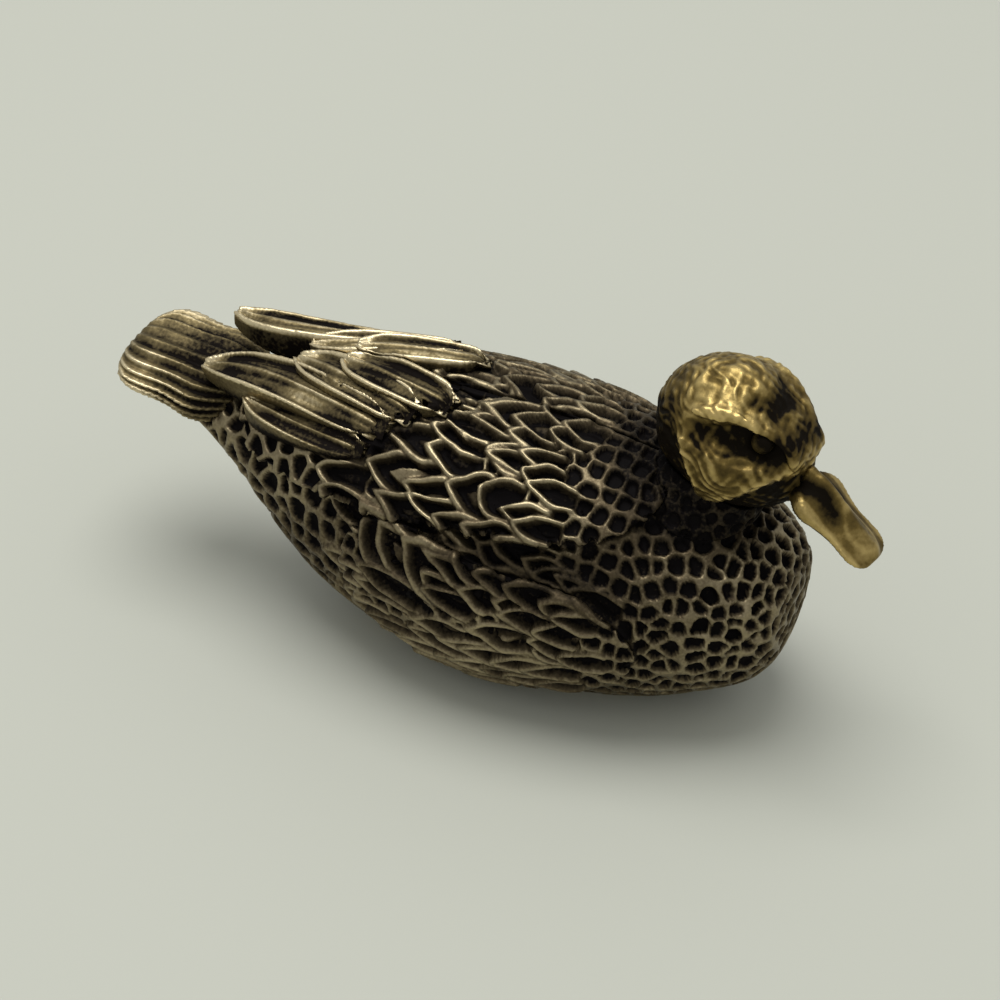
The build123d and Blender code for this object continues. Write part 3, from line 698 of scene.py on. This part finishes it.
rubAndShade = tail["base"] + tail["edgeRub"] * edge + tail["endRub"] * out ** 3 + proud * tail["ribRub"] * ribbed
# darker towards the root: painted shade under the wing tips
storeValue(mesh, "rubAndShade", np.clip(rubAndShade * (0.4 + 0.6 * out) + 0.06 * wave(points, 1.2, 51), 0, 1))
dress(piece, "tail_fan", quillBrass)
print("tail done")

# Head and bill, in the head's own frame: fine strokes over the skull, dark eye stripe, bright brow and cheek
head = dict(centre=(0.2, -12.3, 16.95), turn=-10.0, voxel=0.08, stroke=0.28, strokeDepth=0.05, stripeDepth=0.12,
            recessDepth=0.22, browRise=0.06, cheekRise=0.09, beyondDepth=0.12, soften=110, fill=260, fillShare=0.8)
# lines on the side of the head, as y and z from its centre
browLine = [(0.9, 2.75), (-0.8, 3.0), (-2.2, 2.7), (-3.3, 2.0), (-4.3, 0.7)]
stripeLine = [(0.4, 1.65), (-1.2, 1.7), (-2.4, 1.55), (-3.2, 1.4), (-3.8, 1.2)]
cheekLine = [(1.3, 1.0), (0.6, -0.2), (0.2, -1.3), (0.1, -2.4), (-1.0, -2.1), (-2.4, -1.1), (-3.3, -0.35), (-4.1, 0.0)]
recessLine = [(-1.8, 3.35), (-2.4, 3.25), (-3.0, 2.85)]


def lineDistance(y, z, line):
    nearest = np.full(len(y), 99.0)
    for (y0, z0), (y1, z1) in zip(line, line[1:]):
        dy, dz = y1 - y0, z1 - z0
        t = np.clip(((y - y0) * dy + (z - z0) * dz) / (dy * dy + dz * dz), 0, 1)
        nearest = np.minimum(nearest, np.hypot(y - y0 - t * dy, z - z0 - t * dz))
    return nearest


def toHead(points):
    # points as seen from the head's centre, with the head's turn taken out
    turn = math.radians(head["turn"])
    rel = points - np.array(head["centre"])
    return np.column_stack([rel[:, 0] * math.cos(turn) + rel[:, 1] * math.sin(turn),
                            -rel[:, 0] * math.sin(turn) + rel[:, 1] * math.cos(turn), rel[:, 2]])


piece = castCopy("head", "headSkull", head["voxel"])
mesh = piece.data
edges = readEdges(mesh)
points = readPoints(mesh)
soft = spread(points, edges, len(points), head["soften"])
local = toHead(points)
melt = 0.35 + 0.5 * np.exp(-(lineDistance(local[:, 1], local[:, 2], stripeLine) / 0.85) ** 2)
melt = np.maximum(melt, 0.97 * smoothStep(-local[:, 1], 2.9, 3.8))
behindEye = np.exp(-(lineDistance(local[:, 1], local[:, 2], stripeLine[:2]) / 1.0) ** 2)
points = points + (soft - points) * melt[:, None]
points += (spread(soft, edges, len(points), head["fill"]) - points) * head["fillShare"] * behindEye[:, None]
writePoints(mesh, points)
points, normals = readPoints(mesh), readNormals(mesh)
local = toHead(points)
y, z = local[:, 1], local[:, 2]
cheekRear = lineDistance(y, z, cheekLine)
brow, stripe = lineDistance(y, z, browLine), lineDistance(y, z, stripeLine)
recess = np.where(np.abs(local[:, 0]) < 2.4, lineDistance(y, z, recessLine), farOff)
bend = wave(local, 1.1, 61) * 0.35
drawn = np.column_stack([local[:, 0], (y * 0.8 + z * 0.55 + bend) * 0.4, (z * 0.8 - y * 0.55 + bend) * 1.5])
strokes = np.clip(wave(drawn, head["stroke"], 65) + 0.6 * wave(local, head["stroke"] * 0.8, 67), -1, 1)
stripeMask = np.exp(-(stripe / 0.62) ** 2)
recessMask = np.exp(-(recess / 0.3) ** 2)
browMask = np.exp(-(brow / 0.36) ** 2)
cheekMask = np.exp(-(cheekRear / 0.27) ** 2)
lowEdge = np.interp(y, [-4.1, -3.3, -2.4, -1.0, 0.1], [0.0, -0.35, -1.1, -2.1, -2.4])
rearEdge = np.interp(z, [-2.4, -1.3, -0.2, 1.0], [0.1, 0.2, 0.6, 1.3])
behind = smoothStep(y - rearEdge, 0.05, 0.45) * smoothStep(1.4 - z, 0, 0.8)
beyond = np.maximum(smoothStep(lowEdge - z, 0.05, 0.45), behind)  # past the cheek's raised edge
cheek = (1 - beyond) * smoothStep(0.9 - z, 0, 0.5)
height = (head["strokeDepth"] * strokes * (1 - stripeMask) - head["stripeDepth"] * stripeMask
          - head["recessDepth"] * recessMask + head["browRise"] * browMask + head["cheekRise"] * cheekMask
          - head["beyondDepth"] * beyond)
proud = ((points - spread(points, edges, len(points), 6)) * normals).sum(1)
crown = smoothStep(z, 1.2, 3.6)
nape = smoothStep(y, 0.6, 3.4) * (1 - 0.4 * crown)
underShade = smoothStep(-z, 1.8, 3.2)
eyeDark = 0.35 + 0.6 * smoothStep(-y, 0.9, 2.2)
# brighter towards the crown: painted highlight from the light overhead; darker underneath and past the cheek's edge:
# painted shade under the head
rubAndShade = (0.4 + 0.24 * strokes + 0.2 * crown + 0.4 * browMask + 0.4 * cheekMask - eyeDark * stripeMask - 0.6 * recessMask
       - 0.34 * nape - 0.25 * underShade - 0.3 * beyond + 0.14 * cheek + proud * 4.0 + 0.1 * wave(local, 1.6, 71))
writePoints(mesh, points + normals * height[:, None])
storeValue(mesh, "rubAndShade", np.clip(rubAndShade, 0, 1))
dress(piece, "head", headBrass)
print("head worked")

# Bill and eyes: how much each is rubbed, and how far its root is widened to meet the face
bill = dict(upperFlare=0.36, lowerFlare=0.12, ridgeRise=0.05, nailRise=0.05, dipDepth=0.13, ridgeAt=0.26, dipAt=0.6,
            dipWidth=0.42, nail=(0.75, 7.9, 0.95))
for nodeName, pieceName, level in (("upper_bill", "upperBill", 0.36), ("lower_bill", "lowerBill", 0.26),
                                   ("left_eye", "leftEye", 0.04), ("right_eye", "rightEye", 0.04)):
    piece = castCopy(nodeName, pieceName, head["voxel"])
    mesh = piece.data
    points, normals, edges = readPoints(mesh), readNormals(mesh), readEdges(mesh)
    local = toHead(points)
    proud = ((points - spread(points, edges, len(points), 12)) * normals).sum(1)
    rubAndShade = level + proud * 2.5 + 0.12 * wave(local, 0.6, 81)
    if "Bill" in pieceName:
        out = smoothStep(-local[:, 1], 3.9, 8.4)
        across = np.abs(local[:, 0])
        ridge = np.exp(-(across / bill["ridgeAt"]) ** 2) * (1 - smoothStep(out, 0.6, 0.75))
        lip = smoothStep(across, 1.15, 1.4)
        dip = np.exp(-((across - bill["dipAt"]) / bill["dipWidth"]) ** 2) * (1 - smoothStep(out, 0.66, 0.9))
        nailHalf, nailPlace, nailLength = bill["nail"]
        nail = np.hypot(local[:, 0] / nailHalf, (-local[:, 1] - nailPlace) / nailLength)
        nailRim = np.exp(-((nail - 1) / 0.2) ** 2)
        root = 1 - smoothStep(-local[:, 1], 4.0, 4.9)
        top = smoothStep(normals[:, 2], 0.1, 0.5)
        flare = (1 - smoothStep(-local[:, 1], 4.3, 6.4)) * bill[pieceName.replace("Bill", "Flare")]
        rubAndShade += (0.14 * ridge + 0.25 * nailRim - 0.42 * dip) * top + 0.34 * lip + 0.1 * out - 0.3 * root
        relief = bill["ridgeRise"] * ridge + bill["nailRise"] * nailRim - bill["dipDepth"] * dip
        writePoints(mesh, points + normals * (flare + relief * top)[:, None])
    storeValue(mesh, "rubAndShade", np.clip(rubAndShade, 0, 1))
    dress(piece, nodeName, headBrass)
print("bill and eyes done")

# Table
table = dict(size=1.6, colour=(0.53, 0.537, 0.467), roughness=0.55)
bm = bmesh.new()
bmesh.ops.create_grid(bm, x_segments=1, y_segments=1, size=table["size"])
tableMesh = bpy.data.meshes.new("tableTop")
bm.to_mesh(tableMesh)
bm.free()
tableTop = bpy.data.objects.new("tableTop", tableMesh)
scene.collection.objects.link(tableTop)
tableMaterial = bpy.data.materials.new("paleTable")
tableMaterial.use_nodes = True
shader = tableMaterial.node_tree.nodes["Principled BSDF"]
shader.inputs["Base Color"].default_value = (*table["colour"], 1)
shader.inputs["Roughness"].default_value = table["roughness"]
tableMesh.materials.append(tableMaterial)

# Light: an even room and one soft round panel overhead
light = dict(world=0.6, colour=(0.95, 0.97, 0.95), key=0.69, size=0.26, place=(30, 50, 330))
scene.world = scene.world or bpy.data.worlds.new("room")
scene.world.use_nodes = True
sky = scene.world.node_tree.nodes["Background"]
sky.inputs["Color"].default_value = (*light["colour"], 1)
sky.inputs["Strength"].default_value = light["world"]
lamp = bpy.data.lights.new("softPanel", "AREA")
lamp.shape = "DISK"
lamp.size = light["size"]
lamp.energy = light["key"]
panel = bpy.data.objects.new("softPanel", lamp)
panel.location = Vector(light["place"]) * mm
panel.rotation_euler = (Vector((0, 0, 0)) - panel.location).to_track_quat("-Z", "Y").to_euler()
scene.collection.objects.link(panel)
print("table and light set")

scene.view_settings.view_transform = "Standard"
